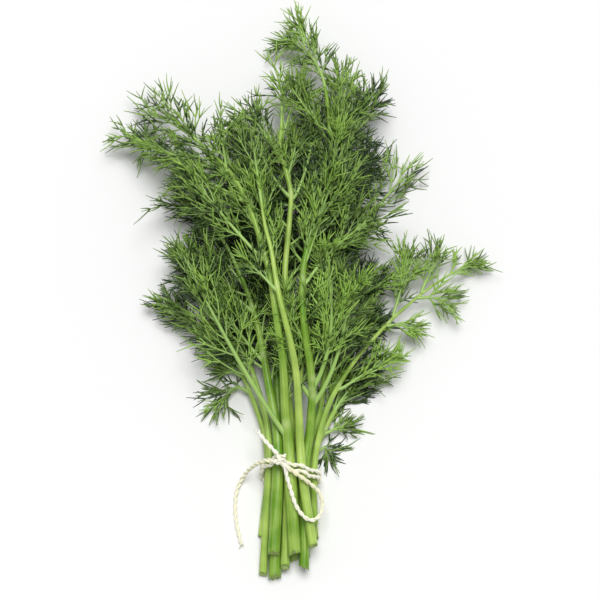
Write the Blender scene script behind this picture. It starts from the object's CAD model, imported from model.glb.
"""The looks of a bunch of cut dill, tied with cotton twine and lying on a pale surface.

Everything is in metres in the frame's own space: the stalks point along +Y and the surface is z = 0.
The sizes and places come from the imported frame, ring by ring. On each plain leaf of the frame grows a
feathery frond, each stalk gets its ribbed skin, and the twine gets its twisted plies.
"""

import functools
import math

import bmesh
import bpy
import numpy as np
from bpy.props import FloatProperty, FloatVectorProperty, IntProperty, PointerProperty
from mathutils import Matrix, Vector


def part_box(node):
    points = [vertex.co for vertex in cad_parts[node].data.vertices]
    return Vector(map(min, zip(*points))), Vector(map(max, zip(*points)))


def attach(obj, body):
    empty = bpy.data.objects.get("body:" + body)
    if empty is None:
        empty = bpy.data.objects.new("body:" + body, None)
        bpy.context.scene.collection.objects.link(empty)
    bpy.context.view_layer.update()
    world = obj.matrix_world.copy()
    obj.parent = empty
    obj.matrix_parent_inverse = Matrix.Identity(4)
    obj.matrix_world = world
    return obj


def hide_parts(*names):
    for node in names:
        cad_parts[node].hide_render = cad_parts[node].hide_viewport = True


bl_info = {
    "name": "Dill bunch",
    "version": (1, 0, 0),
    "blender": (4, 5, 0),
    "location": "3D View > Sidebar > Dill",
    "description": "A bunch of cut dill tied with cotton twine, built around its fixed frame",
    "category": "Add Mesh",
}

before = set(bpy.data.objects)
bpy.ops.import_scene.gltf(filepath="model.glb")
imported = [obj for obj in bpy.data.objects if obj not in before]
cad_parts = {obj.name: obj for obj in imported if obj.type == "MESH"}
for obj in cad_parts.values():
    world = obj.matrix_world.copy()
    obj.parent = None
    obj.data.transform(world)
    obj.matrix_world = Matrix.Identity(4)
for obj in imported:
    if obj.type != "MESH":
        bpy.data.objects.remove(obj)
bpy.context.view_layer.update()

MM = 0.001
UP = np.array([0.0, 0.0, 1.0])
TURN = 2 * math.pi

# How the frame's solids are built up.
STALK_SIDES = 8
LEAF_SIDES = 6
TWINE_SIDES = 8
BLADE_START = 0.28
FLAT_WITHIN = 0.002 * MM
WELD = 0.01 * MM

# The camera: what it looks at, how far off and how steeply, its lens, and how far it sees.
CAMERA_TARGET = Vector((0.0018, -0.0065, 0.020))
CAMERA_DISTANCE = 1.0
CAMERA_ELEVATION = math.radians(78)
CAMERA_LENS = 115.4
CAMERA_SENSOR = 36.0
CAMERA_FAR = 20.0

# Where the broad soft light comes from.
LAMP_FROM = (0.08, 0.42, 1.20)

# The free parts of the twine, each from the knot outwards, in millimetres.
BOW_ROUTE = [
    (-5.6, -95.0, 23.0), (-4.9, -98.6, 21.8), (-3.5, -103.5, 20.9), (-0.5, -112.6, 19.9),
    (2.8, -117.8, 19.1), (6.4, -120.4, 18.2), (10.0, -119.8, 16.8), (12.6, -116.4, 15.6),
    (13.2, -111.2, 15.4), (11.4, -106.2, 17.0), (7.9, -102.9, 19.3), (3.9, -100.0, 21.2),
    (0.3, -97.8, 22.8), (-3.2, -95.4, 24.0)]
LONG_TAIL_ROUTE = [
    (-12.2, -91.2, 23.4), (-15.4, -90.6, 21.6), (-18.9, -91.1, 17.4), (-22.4, -92.4, 12.4),
    (-25.6, -94.5, 7.0), (-28.6, -98.2, 3.0), (-30.8, -103.4, 1.5), (-31.8, -110.6, 1.2),
    (-31.2, -119.6, 1.2), (-28.4, -131.6, 1.2)]
SHORT_TAIL_ROUTE = [(-9.6, -87.7, 23.8), (-12.4, -84.6, 23.8), (-16.1, -80.2, 21.9), (-20.4, -74.6, 19.8)]


def linear(code):
    """A colour written as sRGB hex, as linear red, green and blue."""
    parts = np.array([int(code[k:k + 2], 16) for k in (1, 3, 5)]) / 255
    bright = ((parts + 0.055) / 1.055) ** 2.4
    return tuple(float(c) for c in np.where(parts <= 0.04045, parts / 12.92, bright))


# ---- settings


def length(name, description, default):
    """A length that a user may change."""
    return FloatProperty(name=name, description=description, default=default, min=0.0,
                         unit="LENGTH", subtype="DISTANCE", precision=5)


def angle(name, description, default):
    """An angle that a user may change."""
    return FloatProperty(name=name, description=description, default=math.radians(default),
                         unit="ROTATION", subtype="ANGLE")


def colour(name, description, code):
    """A colour that a user may change."""
    return FloatVectorProperty(name=name, description=description, default=linear(code),
                               min=0.0, max=1.0, size=3, subtype="COLOR")


def number(name, description, default, most=100.0):
    """A plain number that a user may change."""
    return FloatProperty(name=name, description=description, default=default, min=0.0, max=most)


class FrondSettings(bpy.types.PropertyGroup):
    """Sizes and colours of the feathery leaves."""
    thread_radius: length("Thread radius", "Half the thickness of a leaf thread", 0.0004)
    thread_length: length("Thread length", "Length of an ordinary leaf thread", 0.0095)
    pair_spacing: length("Pair spacing", "Distance between the pairs of side shoots on a leaf", 0.0085)
    fullness: number("Fullness", "Reach of the side shoots, as a share of the leaf's half width", 1.15)
    spread: angle("Spread", "Angle at which a side shoot leaves its axis", 33)
    tilt: angle("Tilt", "How far side shoots lean out of the leaf's plane", 22)
    dark: colour("Dark green", "Colour of the older threads", "#0e3202")
    pale: colour("Pale green", "Colour of the young threads", "#9cc453")
    vein: colour("Axis green", "Colour of the leaf's axes", "#a0c468")


class StalkSettings(bpy.types.PropertyGroup):
    """Sizes and colours of the stalks."""
    rib_width: length("Rib width", "Width of one rib of the skin", 0.0011)
    rib_height: number("Rib height", "Height of a rib as a share of the radius", 0.028, most=0.2)
    dark: colour("Groove green", "Colour of the grooves and the older skin", "#5e900e")
    pale: colour("Rib green", "Colour of the ribs", "#c0da70")
    joint: colour("Joint", "Colour of the swollen joints", "#c9d99b")
    pith: colour("Pith", "Colour of the pith where the stalk was cut", "#b9cd80")
    bruise: colour("Bruise", "Colour of the bruised pith", "#6c9030")


class TwineSettings(bpy.types.PropertyGroup):
    """Sizes and colours of the twine."""
    diameter: length("Diameter", "Diameter of the twine", 0.0022)
    lay_length: length("Lay length", "Length of one turn of a ply", 0.0074)
    plies: IntProperty(name="Plies", description="How many plies are twisted together",
                       default=2, min=2, max=4)
    white: colour("Bleached cotton", "Colour of the whiter stretches", "#fbfaf2")
    cream: colour("Raw cotton", "Colour of the yellower stretches", "#f3efc9")


class StageSettings(bpy.types.PropertyGroup):
    """The surface and the light."""
    floor_size: length("Floor size", "Side of the pale surface", 6.0)
    floor: colour("Floor", "Colour of the pale surface", "#f2f2f2")
    sky: number("Sky", "Strength of the even light from all round", 0.36)
    lamp: number("Lamp", "Strength of the broad soft light overhead", 2.57)
    lamp_width: angle("Lamp width", "How broad the soft light is, as an angle", 34)


# ---- lines


def unit(vectors):
    """The same directions with length 1."""
    return vectors / np.maximum(np.linalg.norm(vectors, axis=-1, keepdims=True), 1e-12)


def smooth_step(t):
    """Rises from 0 to 1 with level ends."""
    t = np.clip(t, 0.0, 1.0)
    return t * t * (3.0 - 2.0 * t)


def through(points, per_span=16):
    """A smooth curve (Catmull-Rom) through the given points, as an array of close points."""
    points = np.array(points, float)
    ends = np.vstack([2 * points[0] - points[1], points, 2 * points[-1] - points[-2]])
    t = np.linspace(0.0, 1.0, per_span, endpoint=False)[:, None]
    spans = []
    for a, b, c, d in zip(ends[:-3], ends[1:-2], ends[2:-1], ends[3:]):
        spans.append(0.5 * (2 * b + (c - a) * t + (2 * a - 5 * b + 4 * c - d) * t ** 2
                            + (3 * b - a - 3 * c + d) * t ** 3))
    return np.vstack(spans + [points[-1:]])


def travelled(points):
    """Distance along a line at each of its points."""
    steps = np.linalg.norm(np.diff(points[:, :3], axis=0), axis=1)
    return np.concatenate([[0.0], np.cumsum(steps)])


def at_distance(points, way, wanted):
    """The line's columns at the wanted distances along it."""
    return np.stack([np.interp(wanted, way, column) for column in points.T], axis=-1)


def evenly(points, spacing):
    """The same line with points an even distance apart, close to the spacing asked for."""
    way = travelled(points)
    count = max(3, int(round(way[-1] / spacing)) + 1)
    return at_distance(points, way, np.linspace(0.0, way[-1], count))


def cad_line(node, sides, score):
    """The middle line of a tube or loft in the frame, and the mean and the greatest reach of each of its
    rings. The first ring is the flat end whose middle has the lowest score: a plane of the mesh that holds
    just as many corners as a ring has. Each next ring is the new corners that triangles join to the last
    one."""
    welded = bmesh.new()
    welded.from_mesh(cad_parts[node].data)
    bmesh.ops.remove_doubles(welded, verts=welded.verts, dist=WELD)
    welded.verts.index_update()
    places = np.array([corner.co for corner in welded.verts])
    triangles = np.array([[corner.index for corner in face.verts] for face in welded.faces])
    welded.free()
    a, b, c = (places[triangles[:, k]] for k in range(3))
    normal = unit(np.cross(b - a, c - a))
    flat = np.abs(normal @ places.T - (normal * a).sum(axis=1)[:, None]) < FLAT_WITHIN
    ends = flat[flat.sum(axis=1) == sides]
    ring = np.flatnonzero(ends[np.argmin(score(ends @ places / sides))])
    middle, mean_reach, most_reach, seen = [], [], [], ring
    while len(ring):
        if not sides <= len(ring) <= sides + 1:
            raise RuntimeError(f"{node} isn't built of rings of {sides} corners")
        middle.append(places[ring].mean(axis=0))
        reach = np.linalg.norm(places[ring] - middle[-1], axis=1)
        mean_reach.append(reach.mean())
        most_reach.append(reach.max())
        ring = np.setdiff1d(triangles[np.isin(triangles, ring).any(axis=1)], seen)
        seen = np.union1d(seen, ring)
    return np.array(middle), np.array(mean_reach), np.array(most_reach)


# ---- meshes


def tube_points(middle, heading, across, radius):
    """Points of round tubes. With u the across direction made square to the heading and v square to both,
    the point at angle a of a ring is middle + radius (u cos a + v sin a). middle and heading have the shape
    (..., rings, 3) and radius has (..., rings, sides)."""
    u = unit(across - heading * (across * heading).sum(axis=-1, keepdims=True))
    v = np.cross(heading, u)
    a = TURN * np.arange(radius.shape[-1]) / radius.shape[-1]
    spoke = u[..., None, :] * np.cos(a)[:, None] + v[..., None, :] * np.sin(a)[:, None]
    return middle[..., None, :] + radius[..., None] * spoke


def closed_tubes(rings, first, last, marks):
    """Closed tubes from their rings, shape (tubes, rings, sides, 3), and a point that closes each end.
    marks are numbers for the mesh's attributes, one for each ring or one for each point of it.
    Returns the corners, the four- and three-sided faces, and the marks for each corner."""
    count, levels, sides = rings.shape[:3]
    own = levels * sides + 2
    points = np.concatenate([rings.reshape(count, -1, 3), first[:, None], last[:, None]], axis=1)
    here = np.arange(levels * sides).reshape(levels, sides)
    beside = np.roll(here, -1, axis=1)
    quads = np.stack([here[:-1], beside[:-1], beside[1:], here[1:]], axis=-1).reshape(-1, 4)
    start = np.stack([beside[0], here[0], np.full(sides, own - 2)], axis=-1)
    end = np.stack([here[-1], beside[-1], np.full(sides, own - 1)], axis=-1)
    triangles = np.concatenate([start, end])
    shift = (np.arange(count) * own)[:, None, None]
    spread = {}
    for name, values in marks.items():
        values = values.reshape(values.shape + (1,) * (3 - values.ndim))
        values = np.broadcast_to(values, (count, levels, sides))
        spread[name] = np.concatenate(
            [values.reshape(count, -1), values[:, 0, :1], values[:, -1, :1]], axis=1).reshape(-1)
    return points.reshape(-1, 3), (quads + shift).reshape(-1, 4), (triangles + shift).reshape(-1, 3), spread


def rest_on_surface(shapes, soft):
    """Lays what would sink into the surface on it: below the soft height h, z becomes h exp((z - h) / h)."""
    for points, *_ in shapes:
        z = points[..., 2]
        points[..., 2] = np.where(z < soft, soft * np.exp((z - soft) / soft), z)
    return shapes


def make_piece(name, shapes, finish, nodes, sharp=None):
    """One mesh object from several shapes, riding on the frame and standing for its CAD nodes."""
    points = np.concatenate([s[0] for s in shapes])
    starts = np.concatenate([[0], np.cumsum([len(s[0]) for s in shapes])[:-1]])
    quads = np.concatenate([s[1] + k for s, k in zip(shapes, starts)])
    triangles = np.concatenate([s[2] + k for s, k in zip(shapes, starts)])
    mesh = bpy.data.meshes.new(name)
    mesh.vertices.add(len(points))
    mesh.vertices.foreach_set("co", points.astype(np.float32).ravel())
    corners = np.concatenate([quads.ravel(), triangles.ravel()])
    mesh.loops.add(len(corners))
    mesh.loops.foreach_set("vertex_index", corners.astype(np.int32))
    mesh.polygons.add(len(quads) + len(triangles))
    begins = np.concatenate([4 * np.arange(len(quads)), quads.size + 3 * np.arange(len(triangles))])
    mesh.polygons.foreach_set("loop_start", begins.astype(np.int32))
    for mark in shapes[0][3]:
        attribute = mesh.attributes.new(mark, "FLOAT", "POINT")
        attribute.data.foreach_set("value", np.concatenate([s[3][mark] for s in shapes]).astype(np.float32))
    mesh.update(calc_edges=True)
    if mesh.validate():
        raise RuntimeError(f"{name} has bad faces")
    mesh.shade_smooth()
    if sharp is not None:
        mesh.set_sharp_from_angle(angle=sharp)
    mesh.materials.append(finish)
    made = bpy.data.objects.new(name, mesh)
    bpy.context.scene.collection.objects.link(made)
    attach(made, "root")
    if nodes:
        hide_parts(*nodes)
    return made


# ---- materials


MIX_FACTOR, MIX_A, MIX_B, MIX_RESULT = 0, 6, 7, 2


def node(tree, kind, sockets=(), **settings):
    """Adds a shader node: settings are its own fields, and sockets give each input a value, the output that
    feeds it or the node whose first output feeds it."""
    made = tree.nodes.new(kind)
    for field, value in settings.items():
        setattr(made, field, value)
    for socket, value in dict(sockets).items():
        if isinstance(value, bpy.types.Node):
            value = value.outputs[0]
        if isinstance(value, bpy.types.NodeSocket):
            tree.links.new(value, made.inputs[socket])
        else:
            made.inputs[socket].default_value = value
    return made


def new_material(name):
    """An empty node material, its tree, its Principled shader and the place on the object."""
    made = bpy.data.materials.new(name)
    made.use_nodes = True
    tree = made.node_tree
    return made, tree, tree.nodes["Principled BSDF"], node(tree, "ShaderNodeTexCoord").outputs["Object"]


def rgba(values):
    """A colour setting as a shader's colour, fully opaque."""
    return (*values, 1.0)


def grown_dill_leaf(settings):
    """Living dill leaf, grown: a green thread under a thin waxy bloom. Its dark sides are a full green, and
    its upper side takes a soft greyish lustre from the wax."""
    made, tree, shader, place = new_material("grown_dill_leaf")
    tone, vein = (node(tree, "ShaderNodeAttribute", attribute_name=name).outputs["Fac"]
                  for name in ("tone", "vein"))
    # Tone shifts over a few threads, about 5 mm.
    patches = node(tree, "ShaderNodeTexNoise", {"Vector": place, "Scale": 200.0, "Detail": 2.0})
    shifted = node(tree, "ShaderNodeMath", {0: tone, 1: patches}, operation="ADD")
    share = node(tree, "ShaderNodeMapRange", {"Value": shifted, "From Min": 0.68, "From Max": 1.56})
    green = node(tree, "ShaderNodeMix", {
        MIX_FACTOR: share, MIX_A: rgba(settings.dark), MIX_B: rgba(settings.pale)}, data_type="RGBA")
    grown = node(tree, "ShaderNodeMix", {
        MIX_FACTOR: vein, MIX_A: green.outputs[MIX_RESULT], MIX_B: rgba(settings.vein)}, data_type="RGBA")
    tree.links.new(grown.outputs[MIX_RESULT], shader.inputs["Base Color"])
    # Fine grain, 0.25 mm, too fine to show but enough to break up the shine.
    grain = node(tree, "ShaderNodeTexNoise", {"Vector": place, "Scale": 2600.0, "Detail": 1.0})
    bump = node(tree, "ShaderNodeBump", {"Height": grain, "Strength": 0.25, "Distance": 0.0001})
    tree.links.new(bump.outputs["Normal"], shader.inputs["Normal"])
    shader.inputs["Roughness"].default_value = 0.4
    shader.inputs["IOR"].default_value = 1.5
    return made


def grown_dill_stalk(settings):
    """Living dill stalk, grown ribbed and cut with a knife: smooth waxy skin with fine pale ribs along it,
    whitish at the joints, and rough spongy pith at the cut. It gives a broad soft highlight along its
    length."""
    made, tree, shader, place = new_material("grown_dill_stalk")
    across, upward, along, joint, cut, tone = (
        node(tree, "ShaderNodeAttribute", attribute_name=name).outputs["Fac"]
        for name in ("across", "upward", "along", "joint", "cut", "tone"))
    skin = node(tree, "ShaderNodeCombineXYZ", {"X": across, "Y": upward, "Z": along})
    # Streaks 0.4 mm wide and about 30 mm long.
    stretch = node(tree, "ShaderNodeMapping", {"Vector": skin, "Scale": (2600.0, 2600.0, 35.0)})
    streaks = node(tree, "ShaderNodeTexNoise", {"Vector": stretch, "Scale": 1.0, "Detail": 3.0})
    blotches = node(tree, "ShaderNodeTexNoise", {"Vector": place, "Scale": 70.0, "Detail": 2.0})
    shade = node(tree, "ShaderNodeMath", {0: streaks, 1: blotches}, operation="ADD")
    shifted = node(tree, "ShaderNodeMath", {0: shade, 1: tone}, operation="ADD")
    share = node(tree, "ShaderNodeMapRange", {"Value": shifted, "From Min": 0.6, "From Max": 1.4})
    green = node(tree, "ShaderNodeMix", {
        MIX_FACTOR: share, MIX_A: rgba(settings.dark), MIX_B: rgba(settings.pale)}, data_type="RGBA")
    jointed = node(tree, "ShaderNodeMix", {
        MIX_FACTOR: joint, MIX_A: green.outputs[MIX_RESULT], MIX_B: rgba(settings.joint)}, data_type="RGBA")
    sponge = node(tree, "ShaderNodeTexNoise", {"Vector": place, "Scale": 1500.0, "Detail": 3.0})
    # The cut mark is 1 in the middle of a cut face, 0.5 at its bruised rim and 0 on the skin.
    inside = node(tree, "ShaderNodeMath", {0: cut, 1: sponge}, operation="ADD")
    fresh = node(tree, "ShaderNodeMapRange", {"Value": inside, "From Min": 0.9, "From Max": 1.5})
    opened = node(tree, "ShaderNodeMapRange", {"Value": cut, "From Max": 0.5})
    bruised = node(tree, "ShaderNodeMix", {
        MIX_FACTOR: fresh, MIX_A: rgba(settings.bruise), MIX_B: rgba(settings.pith)}, data_type="RGBA")
    skinned = node(tree, "ShaderNodeMix", {
        MIX_FACTOR: opened, MIX_A: jointed.outputs[MIX_RESULT],
        MIX_B: bruised.outputs[MIX_RESULT]}, data_type="RGBA")
    tree.links.new(skinned.outputs[MIX_RESULT], shader.inputs["Base Color"])
    height = node(tree, "ShaderNodeMath", {0: streaks, 1: sponge}, operation="ADD")
    bump = node(tree, "ShaderNodeBump", {"Height": height, "Strength": 0.5, "Distance": 0.00012})
    tree.links.new(bump.outputs["Normal"], shader.inputs["Normal"])
    shader.inputs["Roughness"].default_value = 0.36
    shader.inputs["IOR"].default_value = 1.45
    shader.inputs["Subsurface Weight"].default_value = 0.15
    shader.inputs["Subsurface Radius"].default_value = (1.0, 1.0, 0.3)
    shader.inputs["Subsurface Scale"].default_value = 0.0015
    return made


def twisted_cotton(settings):
    """Cotton twine, spun and twisted in two plies: soft, matt and slightly hairy. It gives a chalky white
    with cream shadows between the plies, and no shine."""
    made, tree, shader, place = new_material("twisted_cotton_twine")
    across, upward, along, warm = (
        node(tree, "ShaderNodeAttribute", attribute_name=name).outputs["Fac"]
        for name in ("across", "upward", "along", "warm"))
    fibre = node(tree, "ShaderNodeCombineXYZ", {"X": across, "Y": upward, "Z": along})
    # Fibres 0.15 mm wide and about 3 mm long, drawn coarser than real ones so that they show.
    stretch = node(tree, "ShaderNodeMapping", {"Vector": fibre, "Scale": (6000.0, 6000.0, 350.0)})
    fibres = node(tree, "ShaderNodeTexNoise", {"Vector": stretch, "Scale": 1.0, "Detail": 2.0})
    patches = node(tree, "ShaderNodeTexNoise", {"Vector": place, "Scale": 300.0, "Detail": 1.0})
    cotton = node(tree, "ShaderNodeMix", {
        MIX_FACTOR: warm, MIX_A: rgba(settings.white), MIX_B: rgba(settings.cream)}, data_type="RGBA")
    shade = node(tree, "ShaderNodeMapRange", {
        "Value": patches, "From Min": 0.3, "From Max": 0.8, "To Max": 0.35})
    patched = node(tree, "ShaderNodeMix", {
        MIX_FACTOR: shade, MIX_A: cotton.outputs[MIX_RESULT], MIX_B: rgba(settings.cream)},
        data_type="RGBA")
    tree.links.new(patched.outputs[MIX_RESULT], shader.inputs["Base Color"])
    bump = node(tree, "ShaderNodeBump", {"Height": fibres, "Strength": 0.6, "Distance": 0.0001})
    tree.links.new(bump.outputs["Normal"], shader.inputs["Normal"])
    shader.inputs["Roughness"].default_value = 0.92
    shader.inputs["IOR"].default_value = 1.5
    shader.inputs["Sheen Weight"].default_value = 0.2
    shader.inputs["Sheen Roughness"].default_value = 0.6
    return made


def matt_white_board(settings):
    """Matt white card, rolled: an even pale surface that shows only soft shadows."""
    made, tree, shader, place = new_material("matt_white_board")
    tooth = node(tree, "ShaderNodeTexNoise", {"Vector": place, "Scale": 1500.0, "Detail": 1.0})
    bump = node(tree, "ShaderNodeBump", {"Height": tooth, "Strength": 0.05, "Distance": 0.0001})
    tree.links.new(bump.outputs["Normal"], shader.inputs["Normal"])
    shader.inputs["Base Color"].default_value = rgba(settings.floor)
    shader.inputs["Roughness"].default_value = 0.9
    shader.inputs["Specular IOR Level"].default_value = 0.2
    return made


# ---- twine


# The plies: how far apart their rings are, their size as a share of the twine's, their lumps and strands,
# and the stretch at a loose end where they open out.
PLY_SIDES = 12
TWINE_STEP = 0.45 * MM
PLY_SHARE = 0.54
LUMP_SPACING = 5.3 * MM
LUMP_HEIGHT = 0.05
STRANDS = 5
STRAND_HEIGHT = 0.035
END_OPENING = 3.0 * MM

# The loose fibres along the twine and at its cut ends.
FIBRE_SIDES = 3
FIBRE_T = np.linspace(0, 1, 5)
HAIRS_PER_METRE = 2600
HAIR_RADIUS = 0.045 * MM
HAIR_REACH = (0.6 * MM, 2.0 * MM)
FRAY_COUNT = 26
FRAY_RADIUS = 0.11 * MM
FRAY_REACH = (0.8 * MM, 2.4 * MM)
FRAY_START = 0.8 * MM

# How low twine presses down, and the spacing of the points that a cord's path is declared with.
TWINE_SOFT = 0.3 * MM


def twist(line, settings, across, warm, loose_ends=(False, False), seed=0):
    """Twine along a line: plies wound round it, and loose fibres. Ply k's middle is
    line + h (u cos p + v sin p), where p = 2 pi (distance / lay length + k / plies), and its own section is
    a circle that presses a little into the next ply. Towards a loose end the plies open out. warm is the
    share of cream at the line's two ends."""
    rng = np.random.default_rng(seed)
    line = evenly(line, TWINE_STEP)
    way = travelled(line)
    heading = unit(np.gradient(line, axis=0))
    across = np.array(across, float)
    u = unit(across - heading * (heading @ across)[:, None])
    v = np.cross(heading, u)
    plies = settings.plies
    ply_radius = settings.diameter / 2 * PLY_SHARE
    offset = settings.diameter / 2 - ply_radius
    to_end = np.minimum(way if loose_ends[0] else way[-1], (way[-1] - way) if loose_ends[1] else way[-1])
    opened = smooth_step(1 - to_end / END_OPENING)
    phase = TURN * (way / settings.lay_length + np.arange(plies)[:, None] / plies)
    reach = offset * (1 + 0.5 * opened)
    ply = line + (reach * np.cos(phase))[..., None] * u + (reach * np.sin(phase))[..., None] * v
    lumps = 1 + LUMP_HEIGHT * np.sin(TURN * way / LUMP_SPACING + 3 * phase[:, :1]) - 0.3 * opened ** 2
    a = TURN * np.arange(PLY_SIDES) / PLY_SIDES
    strands = 1 + STRAND_HEIGHT * np.cos(STRANDS * a + 9 * phase[..., None])
    radius = ply_radius * lumps[..., None] * strands
    ply_heading = unit(np.gradient(ply, axis=1))
    rings = tube_points(ply, ply_heading, np.broadcast_to(u, ply.shape), radius)
    tint = np.broadcast_to(np.linspace(*warm, len(line)), ply.shape[:2])
    marks = {"across": radius * np.cos(a), "upward": radius * np.sin(a),
             "along": np.broadcast_to(way, ply.shape[:2]), "warm": tint}
    first = ply[:, 0] - ply_heading[:, 0] * ply_radius * 0.5
    last = ply[:, -1] + ply_heading[:, -1] * ply_radius * 0.5
    shapes = [closed_tubes(rings, first, last, marks), hairs(line, way, heading, u, v, settings, warm, rng)]
    for end in np.flatnonzero(loose_ends):
        shapes.append(frayed_end(line[-end], heading[-end] * (1 if end else -1), settings, warm[end], rng))
    return rest_on_surface(shapes, TWINE_SOFT)


def hairs(line, way, heading, u, v, settings, warm, rng):
    """Loose fibres along the twine: short arcs that leave its surface and lie back along it."""
    count = int(HAIRS_PER_METRE * way[-1])
    start = rng.uniform(0, way[-1], count)
    base, ahead, u, v = (at_distance(x, way, start) for x in (line, heading, u, v))
    turn = rng.uniform(0, TURN, count)[:, None]
    spoke = u * np.cos(turn) + v * np.sin(turn)
    ahead = unit(ahead * rng.choice([-1, 1], count)[:, None] + spoke * 0.5 + rng.normal(0, 0.35, (count, 3)))
    reach = rng.uniform(*HAIR_REACH, count)[:, None, None]
    t = FIBRE_T[:, None]
    arcs = (base[:, None] + spoke[:, None] * (settings.diameter * 0.42) + ahead[:, None] * reach * t
            - spoke[:, None] * reach * 0.35 * t ** 2)
    return fibre_tubes(arcs, HAIR_RADIUS * (1 - 0.5 * FIBRE_T), sum(warm) / 2)


def frayed_end(place, heading, settings, warm, rng):
    """The brush of fibres at a cut end: each sets off along the twine and curls outwards."""
    away = rng.normal(0, 1, (FRAY_COUNT, 3))
    away = unit(away - (away @ heading)[:, None] * heading)[:, None]
    reach = rng.uniform(*FRAY_REACH, FRAY_COUNT)[:, None, None]
    t = FIBRE_T[:, None]
    arcs = (place - heading * FRAY_START + away * settings.diameter * 0.25 + heading * reach * t
            + away * reach * 0.55 * t ** 2)
    return fibre_tubes(arcs, FRAY_RADIUS * (1 - 0.6 * FIBRE_T), warm)


def fibre_tubes(arcs, radius, warm):
    """Fibres of cotton as thin tubes, with the twine's marks: radius is given along a fibre."""
    radii = np.broadcast_to(radius, arcs.shape[:2])
    return round_tubes(arcs, radii, FIBRE_SIDES, {
        "across": radii, "upward": radii, "along": radii, "warm": np.full(radii.shape, warm)})


def round_tubes(lines, radii, sides, marks):
    """Many thin round tubes at once: lines have the shape (tubes, rings, 3), radii (tubes, rings)."""
    heading = unit(np.gradient(lines, axis=1))
    overall = unit(lines[:, -1] - lines[:, 0])
    least = np.eye(3)[np.argmin(np.abs(overall), axis=1)]
    radius = np.broadcast_to(radii[..., None], radii.shape + (sides,))
    rings = tube_points(lines, heading, least[:, None], radius)
    last = lines[:, -1] + heading[:, -1] * radii[:, -1:]
    return closed_tubes(rings, lines[:, 0], last, marks)


class DILL_OT_free_twine(bpy.types.Operator):
    bl_idname = "dill.free_twine"
    bl_label = "Free twine"

    def execute(self, context):
        settings = context.scene.dill_twine
        finish = twisted_cotton(settings)
        bow, long_tail, short_tail = (through(route) * MM for route in (
            BOW_ROUTE, LONG_TAIL_ROUTE, SHORT_TAIL_ROUTE))
        bow_piece, tail_piece, upper_piece = (
            make_piece(name, twist(line, settings, UP, warm, (False, cut), seed), finish, [node])
            for seed, (name, node, line, warm, cut) in enumerate([
                ("twine_bow", "twine_loop", bow, (0.0, 1.0), False),
                ("twine_hanging_tail", "twine_long_tail", long_tail, (0.9, 0.4), True),
                ("twine_upper_tail", "twine_short_tail", short_tail, (0.0, 0.1), True)], start=1))
        return {"FINISHED"}


class DILL_OT_tied_twine(bpy.types.Operator):
    """Make the turns round the stalks and the knot"""
    bl_idname = "dill.tied_twine"
    bl_label = "Tied twine"

    def execute(self, context):
        settings = context.scene.dill_twine
        finish = bpy.data.materials["twisted_cotton_twine"]
        knot_low, knot_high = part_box("twine_knot")
        knot = np.array((knot_low + knot_high) / 2)
        turns, _, _ = cad_line("twine_wrap", TWINE_SIDES, lambda places: -places[:, 1])
        turns = through(turns, 6)
        make_piece("twine_turns", twist(turns, settings, (0, 1, 0), (0.25, 0.35), seed=4), finish,
                   ["twine_wrap"])
        half = np.array((knot_high - knot_low) / 2)
        shapes = []
        for seed, route in enumerate(knot_routes(knot, half), start=10):
            shapes += twist(through(route), settings, (0.0, 0.3, 1.0), (0.25, 0.35), seed=seed)
        make_piece("twine_knotted", shapes, finish, ["twine_knot"])
        return {"FINISHED"}


def knot_routes(knot, half):
    """The three strands of the knot: one over the top from the short tail to the bow, one through it from
    the long tail to the bow's other end, and one that goes round both."""
    upper_tail, long_tail, bow_out, bow_in = (np.array(p) * MM for p in (
        SHORT_TAIL_ROUTE[0], LONG_TAIL_ROUTE[0], BOW_ROUTE[0], BOW_ROUTE[-1]))
    top = knot + UP * half[2] * 0.45
    under = knot - UP * half[2] * 0.3
    over_strand = [upper_tail, upper_tail * 0.4 + top * 0.6, top, bow_out * 0.4 + top * 0.6, bow_out]
    through_strand = [long_tail, under, bow_in]
    way = unit(bow_out - upper_tail)
    side = np.cross(UP, way)
    t = np.linspace(-0.15, 1.1, 14)[:, None] * TURN
    ring = (knot + way * half[1] * (0.35 * t / TURN - 0.15) + side * half[0] * 0.55 * np.cos(t)
            + UP * half[2] * 0.75 * np.sin(t))
    return over_strand, through_strand, list(ring)


# ---- stalks


# The stalks' rings, their least number of ribs and how these wander, and the collars and sheaths of joints.
STALK_STEP = 1.1 * MM
SKIN_SIDES = 36
AROUND = TURN * np.arange(SKIN_SIDES) / SKIN_SIDES
LEAST_RIBS = 7
WANDER_LENGTH = 23 * MM
COLLAR_LEAST = 0.3 * MM
SHEATH_START = 1.5 * MM
SHEATH_LENGTH = 7 * MM

# The rings of a cut face from its middle outwards: their reach and how far back they lie, as shares of the
# stalk's radius, and their cut marks. Its rim is ragged.
CUT_RINGS = np.array([0.35, 0.68, 0.86, 0.95])
CUT_BACK = np.array([0.32, 0.26, 0.12, 0.02])
CUT_MARKS = np.array([1.0, 0.9, 0.7, 0.55])
RAGGED = 0.065


def stalk_letters():
    """The letters of the stalks."""
    return sorted(name[-1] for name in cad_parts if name.startswith("stalk_"))


@functools.cache
def stalk_line(letter):
    """A stalk's middle line from its cut end, closely spaced, with its radius as the fourth column."""
    middle, radius, _ = cad_line("stalk_" + letter, STALK_SIDES, lambda places: places[:, 1])
    return evenly(through(np.column_stack([middle, radius])), STALK_STEP)


def leaf_keys(letter=""):
    """The keys of the leaves, or of those on one stalk: the stalk's letter and the leaf's number."""
    return sorted(name[5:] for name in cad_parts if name.startswith("leaf_" + letter))


def leaf_line(key, stalk):
    """A leaf's middle line in the frame, from its joint on its stalk, and the half width of each ring."""
    middle, _, half_width = cad_line("leaf_" + key, LEAF_SIDES, lambda places: np.linalg.norm(
        places[:, None] - stalk[None, :, :3], axis=2).min(axis=1))
    return middle, half_width


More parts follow.
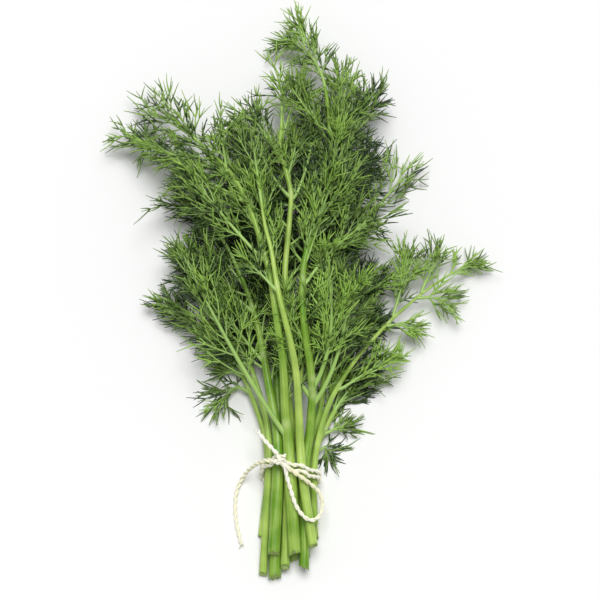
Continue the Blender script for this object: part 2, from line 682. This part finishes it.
def leaf_joints(letter, line, way, heading):
    """How much a stalk swells at its leaves and how pale it is there, for each point of each ring: a collar
    at each joint, and a sheath above it on the leaf's side."""
    swelling = np.zeros((len(way), SKIN_SIDES))
    pale = np.zeros((len(way), SKIN_SIDES))
    v = np.cross(heading, unit(UP - heading * (UP * heading).sum(axis=1, keepdims=True)))
    for key in leaf_keys(letter):
        base = leaf_line(key, line)[0][0]
        nearest = np.argmin(np.linalg.norm(line[:, :3] - base, axis=1))
        if nearest > len(way) - 4:
            continue
        out = base - line[nearest, :3]
        towards = math.atan2(out @ v[nearest], out @ UP)
        facing = 0.5 + 0.5 * np.cos(AROUND - towards)
        off = (way - way[nearest])[:, None]
        width = 0.8 * line[nearest, 3] + COLLAR_LEAST
        collar = np.exp(-(off / width) ** 2)
        sheath = smooth_step(off / SHEATH_START + 0.5) * np.exp(-np.maximum(off, 0) / SHEATH_LENGTH)
        swelling += 0.05 * collar * (0.55 + 0.45 * facing) + 0.05 * sheath * facing
        pale = np.maximum(pale, 0.6 * collar * (0.3 + 0.7 * facing))
    return swelling, pale


def cut_end(middle, heading, radius, section, way, rng):
    """The cut face's rings, and how far forward the cut moves every ring of the stalk. The rings close in
    and lie a little back in the stalk, and the rim is ragged and slanting."""
    a = AROUND
    ragged = sum(rng.normal(0, RAGGED) * np.cos(k * a + rng.uniform(0, TURN)) for k in range(2, 9))
    slant = rng.normal(0.3, 0.2) * np.cos(a) + rng.normal(0, 0.2) * np.sin(a)
    back = CUT_BACK[:, None] + 0.05 * rng.normal(0, 1, (len(CUT_BACK), SKIN_SIDES))
    whole = (len(CUT_RINGS), 3)
    face = tube_points(np.broadcast_to(middle, whole), np.broadcast_to(heading, whole),
                       np.broadcast_to(UP, whole), radius * CUT_RINGS[:, None] * section)
    face += heading * (radius * back)[..., None]
    fade = np.exp(-np.concatenate([np.zeros(len(CUT_RINGS)), way]) / (1.2 * radius))[:, None]
    return face, heading * (radius * (ragged + slant) * fade)[..., None]


def stalk_skin(letter, settings):
    """A stalk: its section is a circle with ribs, r (1 + h cos(n a + wander)), swollen at the joints. The
    cut end is a ragged, slightly hollow face, and the far end is rounded off inside the last leaf."""
    rng = np.random.default_rng(list(letter.encode()))
    line = stalk_line(letter)
    radius = line[:, 3]
    way = travelled(line)
    heading = unit(np.gradient(line[:, :3], axis=0))
    streak_shift = rng.uniform(0, 1)
    ribs = max(LEAST_RIBS, int(round(TURN * radius[0] / settings.rib_width)))
    wander = 0.6 * np.sin(way / WANDER_LENGTH + rng.uniform(0, TURN))
    section = 1 + settings.rib_height * np.cos(ribs * AROUND + wander[:, None])
    section += 0.03 * np.cos(2 * AROUND + rng.uniform(0, TURN))
    swelling, pale = leaf_joints(letter, line, way, heading)
    section += swelling
    skin = tube_points(line[:, :3], heading, np.broadcast_to(UP, heading.shape), radius[:, None] * section)
    face, forward = cut_end(line[0, :3], heading[0], radius[0], section[0], way, rng)
    rings = np.concatenate([face, skin]) + forward
    first = rings[0].mean(axis=0)
    last = line[-1, :3] + heading[-1] * radius[-1] * 0.8
    reach = np.concatenate([radius[0] * CUT_RINGS, radius])[:, None]
    on_face = np.zeros(len(CUT_RINGS))
    marks = {
        "across": (reach * np.cos(AROUND))[None],
        "upward": (reach * np.sin(AROUND))[None],
        "along": np.concatenate([on_face, way + streak_shift])[None],
        "tone": np.full((1, len(rings)), rng.normal(0, 0.13)),
        "joint": np.concatenate([np.zeros((len(CUT_RINGS), SKIN_SIDES)), pale])[None],
        "cut": np.concatenate([CUT_MARKS, 0.5 * np.exp(-(way / (0.3 * radius[0])) ** 2)])[None]}
    return closed_tubes(rings[None], first[None], last[None], marks)


class DILL_OT_stalks(bpy.types.Operator):
    """Make the ribbed skin of every stalk"""
    bl_idname = "dill.stalks"
    bl_label = "Stalks"

    def execute(self, context):
        settings = context.scene.dill_stalk
        finish = grown_dill_stalk(settings)
        for letter in stalk_letters():
            make_piece("dill_stalk_" + letter, [stalk_skin(letter, settings)], finish,
                       ["stalk_" + letter], sharp=math.radians(50))
        return {"FINISHED"}


# ---- fronds


# How each kind of shoot is drawn: the shares of the way where it has rings, its thickness at the foot and
# at the tip as shares of a thread's, its sides, and how much of the axis's colour it has.
PINNA = (np.linspace(0, 1, 7), 1.1, 0.75, 5, 0.6)
PINNULE = (np.linspace(0, 1, 7), 1.0, 0.4, 4, 0.3)
THREAD = (np.linspace(0, 1, 4), 0.98, 0.35, 4, 0.05)

# How shoots vary: their angle and reach as shares of the usual, how far they bow back and droop and how
# unevenly they bow as shares of their reach, and their tone.
ANGLE_RANGE = (0.65, 1.35)
REACH_RANGE = (0.6, 1.25)
BOW_RANGE = (0.12, 0.48)
DROOP = 0.06
BOW_SPREAD = 0.20
TONE_SPREAD = 0.12

# The spacing of a leaf's own rings, the half width of a usual leaf, the least stretch with side shoots, how
# low leaves press down, and the usual tone of a leaf with its spread among leaves and pairs.
LINE_STEP = 1.2 * MM
USUAL_BLADE = 12 * MM
LEAST_BLADE = 6 * MM
LEAF_SOFT = 1.4 * MM
USUAL_TONE = 0.36
LEAF_SPREAD = 0.11
PAIR_SPREAD = 0.08

# The forks of a leaf: how many pairs its axis has, the spacing of the smaller ones, and the least reach.
PAIRS = (3, 9)
PINNULE_SPACING = 6.0 * MM
THREAD_SPACING = 6.5 * MM
LEAST_REACH = 2 * MM

# The foot of a leaf stalk: how near a stalk's end its last leaf sits and how far back that leaf reaches,
# over what length it takes up the stalk's thickness, and how long the swelling at a joint is.
LAST_WITHIN = 1.0 * MM
LAST_ROOT = 2.5 * MM
FOOT_BLEND = 4 * MM
FOOT_SWELLING = 6 * MM

# Shade: the middle and reach of the bunch's broad fan, the height where its leaves turn pale, the shade of
# leaves deep inside, and how much paler a shoot is above its leaf's axis, within a range of heights.
FAN_MIDDLE = np.array([0.0, 0.018, 0.0])
FAN_REACH = np.array([0.060, 0.080, 1.0])
PALE_FROM = 22 * MM
DEEP_SHADE = -0.7
PALE_ABOVE = 0.055 / MM
LEVEL_RANGE = (-3 * MM, 7 * MM)

# Small leaves: the least stalk that bears them in its joints, their axis, their spacing along a stalk, the
# distance over which its heading is taken, and the reach and rise of those in joints and along stalks.
STOUT_STALK = 1.25 * MM
SMALL_AXIS = 0.6 * MM
YOUNG_SPACING = 10 * MM
YOUNG_AHEAD = 4 * MM
JOINT_REACH = (34 * MM, 48 * MM)
JOINT_RISE = (-9 * MM, 1 * MM)
YOUNG_REACH = (26 * MM, 40 * MM)

# Leaves, or all the leaves of a stalk, that are younger and paler than the rest, or older and darker.
OWN_SHADE = {"k": 0.32, "j1": 0.32, "i7": 0.1, "l": -0.12}

# The stretch of a stalk that stays in the open, with no shoots across it.
OPEN_STALK = "e"
OPEN_FROM, OPEN_TO = 6 * MM, 57 * MM
OPEN_MARGIN = 0.6 * MM

# Young leaves on stalks: which kind and stalk, from and up to which y in millimetres, how far they turn from
# the stalk's way in degrees, how far their tips rise in millimetres, and their shade.
YOUNG_LEAVES = [
    ("young", "c", -52, 20, (15, 55), (-6, -1), DEEP_SHADE),
    ("young", "d", -52, 38, (15, 55), (-6, -1), DEEP_SHADE),
    ("young", "g", -52, 38, (15, 55), (-6, -1), DEEP_SHADE),
    ("young", "j", -52, -12, (15, 55), (-6, -1), DEEP_SHADE),
    ("young", "e", 58, 82, (15, 40), (0, 4), 0.0),
    ("young", "f", 14, 62, (4, 24), (-4, 1), 0.0),
    ("young", "i", 6, 78, (4, 24), (3, 8), 0.0),
    ("low", "e", 0, 44, (20, 60), (-17, -11), DEEP_SHADE),
    ("low", "i", 0, 52, (20, 60), (-20, -13), DEEP_SHADE),
]


class Shoots:
    """Many side shoots at once. A point at share t of a shoot is start + length t aim + t squared bow. side
    lies in the shoot's own plane, square to aim, and level is the height of the leaf's axis beside it."""

    def __init__(self, start, aim, side, reach, bow, tone, level):
        self.start, self.aim, self.side = start, aim, side
        self.reach, self.bow, self.tone, self.level = reach, bow, tone, level

    def at(self, owner, t):
        """The places and headings at share t of the owners."""
        span = self.aim[owner] * self.reach[owner, None]
        t = t[:, None]
        return self.start[owner] + span * t + self.bow[owner] * t ** 2, unit(span + 2 * self.bow[owner] * t)

    def lines(self, t):
        """Points along every shoot, shape (shoots, points, 3)."""
        t = t[:, None]
        span = (self.aim * self.reach[:, None])[:, None]
        return self.start[:, None] + span * t + self.bow[:, None] * t ** 2

    def branches(self, spacing, most, grow, spread, tilt, rng):
        """Pairs of smaller shoots along every shoot, close to the spacing and at most so many pairs. grow
        gives their reach from their shoot's reach and their share of the way along it."""
        counts = np.clip(np.round(self.reach / spacing), 1, most).astype(int)
        owner = np.repeat(np.arange(len(counts)), counts)
        rank = np.arange(len(owner)) - np.repeat(np.cumsum(counts) - counts, counts)
        t = (rank + 1.0) / (counts[owner] + 0.75)
        place, ahead = self.at(owner, t)
        return fork(place, ahead, self.side[owner], grow(self.reach[owner], t), self.tone[owner],
                    self.level[owner], np.full(len(t), spread), tilt, rng)

    def parted(self):
        """The shoots without those that would cross over the open stretch of the open stalk."""
        line = stalk_line(OPEN_STALK)
        places = self.lines(PINNA[0])
        x, height, radius = (np.interp(places[..., 1], line[:, 1], line[:, k]) for k in (0, 2, 3))
        within = (places[..., 1] > OPEN_FROM) & (places[..., 1] < OPEN_TO)
        over = (np.abs(places[..., 0] - x) < radius + OPEN_MARGIN) & (places[..., 2] > height)
        keep = ~(within & over).any(axis=1)
        return Shoots(**{name: values[keep] for name, values in vars(self).items()})


def fork(place, heading, side, reach, tone, level, spread, tilt, rng):
    """A pair of shoots at each place, one to each side. With out the side direction leaned out of the plane
    by the tilt, a shoot's aim is heading cos(spread) + out sin(spread), and it bows back towards the
    heading."""
    count = len(place) * 2
    place, heading, side = (np.repeat(x, 2, axis=0) for x in (place, heading, side))
    sign = np.tile([-1.0, 1.0], count // 2)[:, None]
    above = np.cross(side, heading)
    lean = rng.normal(0, tilt, count)[:, None]
    out = side * sign * np.cos(lean) + above * np.sin(lean)
    turn = np.clip(np.repeat(spread, 2) * rng.uniform(*ANGLE_RANGE, count), 0.12, 1.3)[:, None]
    aim = heading * np.cos(turn) + out * np.sin(turn)
    inner = unit(out * np.cos(turn) - heading * np.sin(turn))
    roll = rng.normal(0, 1.3 * tilt, count)[:, None]
    new_side = inner * np.cos(roll) + np.cross(aim, inner) * np.sin(roll)
    reach = np.repeat(reach, 2) * rng.uniform(*REACH_RANGE, count)
    bow = heading * (reach * rng.uniform(*BOW_RANGE, count))[:, None] - UP * (reach * DROOP)[:, None]
    bow += rng.normal(0, BOW_SPREAD, (count, 3)) * reach[:, None]
    tone = np.repeat(tone, 2) + rng.normal(0, TONE_SPREAD, count)
    return Shoots(place, aim, new_side, reach, bow, tone, np.repeat(level, 2)).parted()


def feather(line, begin, thick, blade, lean, shade, settings, rng):
    """A leaf on its middle line: the line's axis with opposite pairs of side shoots from the distance begin
    on, each with pairs of smaller shoots, and those with pairs of threads. Side shoots are longest about
    half way up, where they reach about the blade's half width from the axis. thick is the axis's radius at
    each point of the line, lean turns the leaf about it, and shade makes it paler or darker."""
    size = np.clip(blade / USUAL_BLADE, 0.65, 1.1)
    spread = settings.spread * math.sqrt(size)
    thread_length = settings.thread_length * max(size, 0.85)
    way = travelled(line)
    within = way <= max(way[-1] - 1.3 * thread_length, begin + LEAST_BLADE)
    line, way, thick = line[within], way[within], thick[within]
    heading = unit(np.gradient(line, axis=0))
    end = way[-1]
    out = np.clip((way - begin) / (end - begin), 0, 1)
    level = unit(np.cross(heading, UP))
    side = level * math.cos(lean) + np.cross(heading, level) * math.sin(lean)
    thread = settings.thread_radius
    thick = thick * (1 - out) ** 0.8 + thread * (1 - (1 - out) ** 0.8)
    shapes = [round_tubes(line[None], thick[None], 8,
                          {"tone": np.full((1, len(way)), 0.5), "vein": (1 - 0.75 * out)[None]})]

    pairs = int(np.clip(round((end - begin) / (settings.pair_spacing * size)), *PAIRS))
    share = np.linspace(0, 1, pairs, endpoint=False) ** 0.88
    spots = begin + (end - begin) * share
    place, ahead, flat = (at_distance(x, way, spots) for x in (line, heading, side))
    profile = (0.55 + 1.5 * share) * (1 - share) ** 0.62
    reach = np.maximum(settings.fullness * blade * profile - 0.1 * thread_length, LEAST_REACH)
    reach = np.minimum(reach / math.sin(spread), 0.85 * (end - spots) + 0.25 * thread_length)
    tone = rng.normal(USUAL_TONE, LEAF_SPREAD) + shade + rng.normal(0, PAIR_SPREAD, pairs)
    pinnae = fork(place, unit(ahead), unit(flat), reach, tone, place[:, 2], spread * (1.2 - 0.5 * share),
                  settings.tilt, rng)
    shapes.append(shoot_tubes(pinnae, thread, *PINNA))

    pinnules = pinnae.branches(
        PINNULE_SPACING * size, 5, lambda own, t: 0.32 * own * (1 - 0.6 * t) + 0.7 * thread_length,
        1.05 * spread, settings.tilt * 1.3, rng)
    shapes.append(shoot_tubes(pinnules, thread, *PINNULE))
    threads = pinnules.branches(
        THREAD_SPACING * size, 2, lambda own, t: 0.95 * thread_length * (1 - 0.35 * t),
        0.95 * spread, settings.tilt * 1.1, rng)
    shapes.append(shoot_tubes(threads, thread, *THREAD))
    return shapes


def frond(key, settings):
    """A leaf of the frame as a feathery frond, and on a stout stalk the young shoot in its armpit: a smaller
    frond that points along the stalk."""
    rng = np.random.default_rng(list(key.encode()))
    stalk = stalk_line(key[0])
    middle, half_width = leaf_line(key, stalk)
    blade, stem = half_width.max(), half_width[0]
    nearest = np.argmin(np.linalg.norm(stalk[:, :3] - middle[0], axis=1))
    joint = stalk[nearest]
    last = np.linalg.norm(stalk[-1, :3] - middle[0]) < LAST_WITHIN
    if last:
        root = middle[0] - unit(middle[1] - middle[0]) * LAST_ROOT
    else:
        root = at_distance(stalk, travelled(stalk), nearest * STALK_STEP - 2.6 * joint[3])[:3]
    line = evenly(through(np.vstack([root, middle])), LINE_STEP)
    way = travelled(line)
    ring_way = travelled(np.vstack([root, middle]))[1:]
    start = BLADE_START * np.clip(blade / USUAL_BLADE, 0.3, 1.0)
    begin = np.interp(start * (len(middle) - 1), np.arange(len(middle)), ring_way)
    if last:
        thick = stem + (joint[3] - stem) * np.exp(-way / FOOT_BLEND)
    else:
        thick = stem * (1 + 0.5 * np.exp(-(way / FOOT_SWELLING) ** 2))
    inner = np.exp(-np.sum(((middle.mean(axis=0) - FAN_MIDDLE) / FAN_REACH) ** 2))
    shade = 0.35 * inner * min(line[:, 2].mean() / PALE_FROM - 1, 0.4) + 0.28 * (1 - inner) ** 2
    shade += OWN_SHADE.get(key, OWN_SHADE.get(key[0], 0.0))
    shapes = feather(line, begin, thick, blade, rng.normal(0, 0.2), shade, settings, rng)
    if joint[3] > STOUT_STALK:
        ahead = unit(stalk[min(nearest + 8, len(stalk) - 1), :3] - stalk[max(nearest - 8, 0), :3])
        bend = np.cross(ahead, UP) * rng.uniform(-0.5, 0.5)
        shapes += small_leaf(joint[:3], ahead, bend, rng.uniform(*JOINT_REACH), rng.uniform(*JOINT_RISE),
                             0.3, 0.85, rng.normal(0, 0.6), shade, settings, rng)
    return rest_on_surface(shapes, LEAF_SOFT)


def small_leaf(base, aim, bend, reach, rise, begin, blade, lean, shade, settings, rng):
    """A small leaf whose axis at share t of the way is base + reach (t aim + t squared bend) + t rise up.
    begin is the share of its reach where its shoots start, and blade its half width as a share of the
    usual."""
    t = np.linspace(0, 1, 12)[:, None]
    line = evenly(base + reach * (aim * t + bend * t ** 2) + UP * rise * t, LINE_STEP)
    return feather(line, begin * reach, np.full(len(line), SMALL_AXIS), blade * USUAL_BLADE, lean, shade,
                   settings, rng)


def young_leaves(kind, letter, from_y, to_y, turns, rise, shade, settings):
    """Small leaves on a stalk: short feathers to each of its sides in turn, that point ahead and curve back
    to the stalk's way."""
    rng = np.random.default_rng(list((kind + letter).encode()))
    stalk = stalk_line(letter)
    way = travelled(stalk)
    first, last = np.interp((from_y * MM, to_y * MM), stalk[:, 1], way)
    shapes = []
    for rank, spot in enumerate(np.arange(first, last, YOUNG_SPACING)):
        base, further = (at_distance(stalk, way, spot + step)[:3] for step in (0, YOUNG_AHEAD))
        ahead = unit(further - base)
        side = unit(np.cross(ahead, UP)) * (-1) ** rank
        turn = math.radians(rng.uniform(*turns))
        aim = ahead * math.cos(turn) + side * math.sin(turn)
        shapes += small_leaf(base, aim, 0.2 * ahead, rng.uniform(*YOUNG_REACH), rng.uniform(*rise) * MM,
                             0.25, 0.75, rng.normal(0, 0.5), shade, settings, rng)
    return rest_on_surface(shapes, LEAF_SOFT)


def shoot_tubes(shoots, thread, t, foot, tip, sides, vein):
    """The shoots as tapering tubes, pointed at the end: at share t of the way the radius is a thread's times
    foot + (tip - foot) t squared. They're paler towards the tip, and paler above the leaf's axis than below
    it."""
    lines = shoots.lines(t)
    radii = np.broadcast_to(foot * thread + (tip * thread - foot * thread) * t ** 2, lines.shape[:2])
    above = lines[..., 2] - shoots.level[:, None]
    tone = shoots.tone[:, None] + 0.2 * t + PALE_ABOVE * np.clip(above, *LEVEL_RANGE)
    return round_tubes(lines, radii, sides, {"tone": tone, "vein": np.full(lines.shape[:2], vein)})


class DILL_OT_fronds(bpy.types.Operator):
    """Grow a feathery frond on every leaf of the frame"""
    bl_idname = "dill.fronds"
    bl_label = "Fronds"

    def execute(self, context):
        settings = context.scene.dill_frond
        finish = grown_dill_leaf(settings)
        for key in leaf_keys():
            make_piece("dill_frond_" + key, frond(key, settings), finish, ["leaf_" + key])
        for row in YOUNG_LEAVES:
            make_piece(f"dill_{row[0]}_leaves_{row[1]}", young_leaves(*row, settings), finish, [])
        return {"FINISHED"}


# ---- stage


class DILL_OT_stage(bpy.types.Operator):
    """Set up the camera, the pale surface and the light"""
    bl_idname = "dill.stage"
    bl_label = "Stage"

    def execute(self, context):
        settings = context.scene.dill_stage
        scene = context.scene
        lens = bpy.data.cameras.new("camera")
        lens.lens = CAMERA_LENS
        lens.sensor_width = CAMERA_SENSOR
        lens.clip_end = CAMERA_FAR
        camera = bpy.data.objects.new("camera", lens)
        scene.collection.objects.link(camera)
        back = Vector((0.0, -math.cos(CAMERA_ELEVATION), math.sin(CAMERA_ELEVATION)))
        camera.location = CAMERA_TARGET + back * CAMERA_DISTANCE
        camera.rotation_euler = (math.pi / 2 - CAMERA_ELEVATION, 0.0, 0.0)
        scene.camera = camera

        half = settings.floor_size / 2
        mesh = bpy.data.meshes.new("floor")
        corners = [(-half, -half, 0), (half, -half, 0), (half, half, 0), (-half, half, 0)]
        mesh.from_pydata(corners, [], [(0, 1, 2, 3)])
        mesh.materials.append(matt_white_board(settings))
        floor = bpy.data.objects.new("floor", mesh)
        scene.collection.objects.link(floor)

        world = bpy.data.worlds.new("even_sky")
        world.use_nodes = True
        sky = world.node_tree.nodes["Background"]
        sky.inputs["Color"].default_value = (1.0, 1.0, 1.0, 1.0)
        sky.inputs["Strength"].default_value = settings.sky
        scene.world = world

        soft = bpy.data.lights.new("overhead_light", "SUN")
        soft.energy = settings.lamp
        soft.angle = settings.lamp_width
        lamp = bpy.data.objects.new("overhead_light", soft)
        lamp.location = LAMP_FROM
        lamp.rotation_euler = (-Vector(LAMP_FROM)).to_track_quat("-Z", "Y").to_euler()
        scene.collection.objects.link(lamp)
        scene.view_settings.view_transform = "Standard"
        return {"FINISHED"}


class DILL_PT_bunch(bpy.types.Panel):
    """Lists the steps that make the bunch"""
    bl_label = "Dill bunch"
    bl_idname = "DILL_PT_bunch"
    bl_space_type = "VIEW_3D"
    bl_region_type = "UI"
    bl_category = "Dill"

    def draw(self, context):
        for step in STEPS:
            self.layout.operator(step.bl_idname)


STEPS = (DILL_OT_stage, DILL_OT_free_twine, DILL_OT_tied_twine, DILL_OT_stalks, DILL_OT_fronds)
SETTINGS = {"dill_frond": FrondSettings, "dill_stalk": StalkSettings, "dill_twine": TwineSettings,
            "dill_stage": StageSettings}


def register():
    for group in SETTINGS.values():
        bpy.utils.register_class(group)
    for name, group in SETTINGS.items():
        setattr(bpy.types.Scene, name, PointerProperty(type=group))
    for step in STEPS:
        bpy.utils.register_class(step)
    bpy.utils.register_class(DILL_PT_bunch)


def unregister():
    bpy.utils.unregister_class(DILL_PT_bunch)
    for step in reversed(STEPS):
        bpy.utils.unregister_class(step)
    for name, group in SETTINGS.items():
        delattr(bpy.types.Scene, name)
        bpy.utils.unregister_class(group)


def main():
    """Makes the whole bunch, step by step, and notes its size."""
    register()
    bpy.ops.dill.stage()
    bpy.ops.dill.free_twine()
    bpy.ops.dill.tied_twine()
    bpy.ops.dill.stalks()
    bpy.ops.dill.fronds()


if __name__ == "__main__":
    main()
